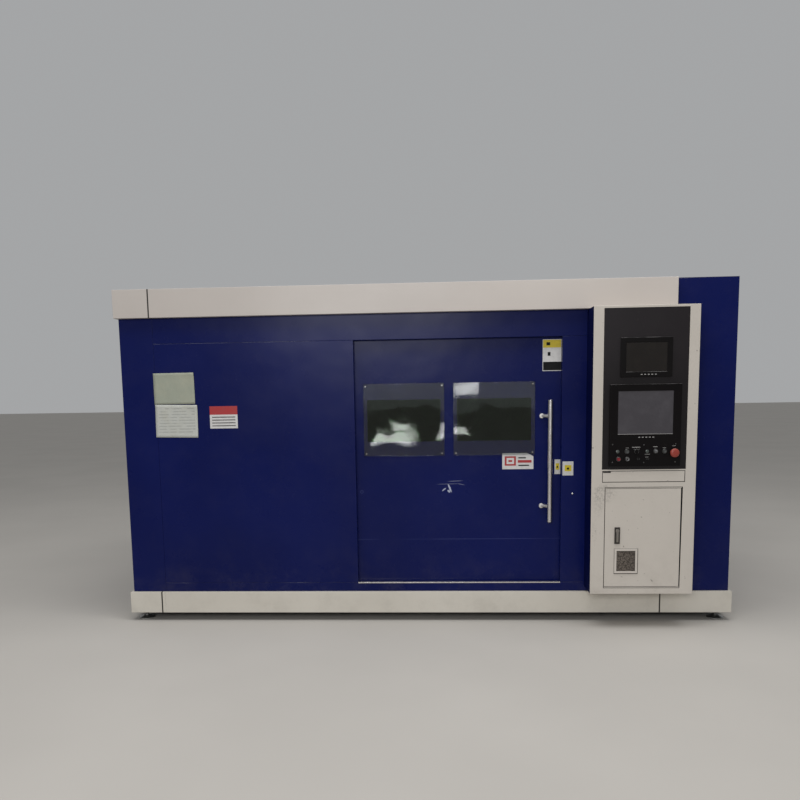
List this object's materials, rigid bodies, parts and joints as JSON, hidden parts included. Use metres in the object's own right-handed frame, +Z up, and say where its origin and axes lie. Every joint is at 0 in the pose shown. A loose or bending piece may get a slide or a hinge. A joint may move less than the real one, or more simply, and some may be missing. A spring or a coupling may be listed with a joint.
{
  "type": "fiber laser cutting machine",
  "caption": "Enclosed fiber laser cutting machine: sliding door with tinted windows, operator console with screens, keyboard drawer and cabinet, gantry and cutting head over a slat table.",
  "frame": {"origin": "middle of the bounding box's base, on the floor under the levelling feet", "axes": "+X to the operator's right along the machine's length, +Y from the front to the back, +Z up"},
  "size_m": [4.14, 2.5576, 2.28],
  "materials": {
    "blue_paint": "glossy dark blue coat on folded sheet steel",
    "white_paint": "off-white textured powder coat",
    "black_paint": "satin black coat",
    "screen_glass": "dark screen glass, not see-through",
    "window_glass": "dark tinted laser-safe pane",
    "stainless_steel": "brushed stainless steel",
    "rail_steel": "ground rail steel",
    "zinc_steel": "zinc-plated steel",
    "frame_paint": "grey primer coat on welded steel",
    "slat_steel": "bare steel slats",
    "cast_aluminium": "cast and machined aluminium",
    "motor_paint": "black motor coat",
    "source_paint": "grey cabinet coat",
    "red_plastic": "glossy red moulding",
    "grey_plastic": "matt grey moulding",
    "black_plastic": "matt black moulding",
    "nozzle_brass": "turned copper alloy"
  },
  "bodies": {
    "machine": {"corner_panel": "blue_paint", "header_panel": "blue_paint", "front_panel": "blue_paint", "post_panel": "blue_paint", "sill_panel": "blue_paint", "column_panel": "blue_paint", "left_wall": "blue_paint", "right_wall": "blue_paint", "rear_wall": "blue_paint", "roof": "blue_paint", "plinth_front": "white_paint", "plinth_left": "white_paint", "plinth_right": "white_paint", "plinth_rear": "white_paint", "fascia_front": "white_paint", "fascia_left": "white_paint", "console_housing": "white_paint", "partition": "white_paint", "control_panel": "black_paint", "operating_panel": "black_paint", "upper_monitor": "black_paint", "upper_screen": "screen_glass", "main_screen": "screen_glass", "x_rail_front": "rail_steel", "x_rail_rear": "rail_steel", "foot_front_left": "zinc_steel", "foot_front_right": "zinc_steel", "foot_rear_left": "zinc_steel", "foot_rear_right": "zinc_steel", "door_track": "zinc_steel", "door_bottom_guide": "zinc_steel", "exhaust_collar": "zinc_steel", "base_frame": "frame_paint", "machine_bed": "frame_paint", "slat_table": "slat_steel", "laser_source": "source_paint"},
    "door": {"door_leaf": "blue_paint", "window_left": "window_glass", "window_right": "window_glass", "door_handle": "stainless_steel"},
    "wheels_left": {"door_wheels_left": "zinc_steel"},
    "wheels_right": {"door_wheels_right": "zinc_steel"},
    "drawer": {"keyboard_drawer": "white_paint", "keyboard": "black_plastic"},
    "cabinet_door": {"cabinet_door": "white_paint", "vent_grille": "white_paint", "latch_body": "stainless_steel"},
    "latch_lever": {"latch_lever": "black_plastic"},
    "upper_button": {"upper_button": "grey_plastic"},
    "reset_button": {"reset_button": "grey_plastic"},
    "red_button": {"red_button": "red_plastic"},
    "ring_button": {"ring_button": "stainless_steel"},
    "mode_selector": {"mode_selector": "black_plastic"},
    "key_switch": {"key_switch": "stainless_steel"},
    "emergency_stop": {"emergency_stop": "red_plastic"},
    "gantry": {"gantry_beam": "cast_aluminium"},
    "carriage": {"y_carriage": "cast_aluminium", "z_motor": "motor_paint"},
    "head": {"cutting_head": "black_paint", "nozzle": "nozzle_brass"}
  },
  "joints": [
    {"name": "door_slide", "type": "slide", "parent": "machine", "child": "door", "axis": [-1, 0, 0], "range_m": [0, 1.22]},
    {"name": "wheels_left_turn", "type": "hinge", "parent": "door", "child": "wheels_left", "pos_m": [-0.28, -0.96865, 1.973], "axis": [0, -1, 0], "range_deg": [0, 3890]},
    {"name": "wheels_right_turn", "type": "hinge", "parent": "door", "child": "wheels_right", "pos_m": [0.745, -0.96865, 1.973], "axis": [0, -1, 0], "range_deg": [0, 3890]},
    {"name": "drawer_slide", "type": "slide", "parent": "machine", "child": "drawer", "axis": [0, -1, 0], "range_m": [0, 0.15]},
    {"name": "cabinet_door_hinge", "type": "hinge", "parent": "machine", "child": "cabinet_door", "pos_m": [1.649, -1.22515, 0.6], "axis": [0, 0, 1], "range_deg": [0, 110]},
    {"name": "latch_turn", "type": "hinge", "parent": "cabinet_door", "child": "latch_lever", "pos_m": [1.2545, -1.24, 0.659], "axis": [0, -1, 0], "range_deg": [0, 90]},
    {"name": "upper_button_push", "type": "slide", "parent": "machine", "child": "upper_button", "axis": [0, 1, 0], "range_m": [0, 0.004], "stiffness_N_per_m": 300},
    {"name": "reset_button_push", "type": "slide", "parent": "machine", "child": "reset_button", "axis": [0, 1, 0], "range_m": [0, 0.004], "stiffness_N_per_m": 300},
    {"name": "red_button_push", "type": "slide", "parent": "machine", "child": "red_button", "axis": [0, 1, 0], "range_m": [0, 0.004], "stiffness_N_per_m": 300},
    {"name": "ring_button_push", "type": "slide", "parent": "machine", "child": "ring_button", "axis": [0, 1, 0], "range_m": [0, 0.004], "stiffness_N_per_m": 300},
    {"name": "mode_selector_turn", "type": "hinge", "parent": "machine", "child": "mode_selector", "pos_m": [1.3628, -1.24685, 1.1734], "axis": [0, 1, 0], "range_deg": [-45, 45]},
    {"name": "key_turn", "type": "hinge", "parent": "machine", "child": "key_switch", "pos_m": [1.4823, -1.24685, 1.1734], "axis": [0, 1, 0], "range_deg": [0, 90]},
    {"name": "emergency_stop_push", "type": "slide", "parent": "machine", "child": "emergency_stop", "axis": [0, 1, 0], "range_m": [0, 0.005], "stiffness_N_per_m": 1500},
    {"name": "gantry_x", "type": "slide", "parent": "machine", "child": "gantry", "axis": [1, 0, 0], "range_m": [0, 2.7]},
    {"name": "carriage_y", "type": "slide", "parent": "gantry", "child": "carriage", "axis": [0, 1, 0], "range_m": [0, 1.43]},
    {"name": "head_z", "type": "slide", "parent": "carriage", "child": "head", "axis": [0, 0, -1], "range_m": [0, 0.07]}
  ],
  "couplings": [
    {"joint": "wheels_left_turn", "follows": "door_slide", "rad_per_m": 55.556},
    {"joint": "wheels_right_turn", "follows": "door_slide", "rad_per_m": 55.556}
  ]
}
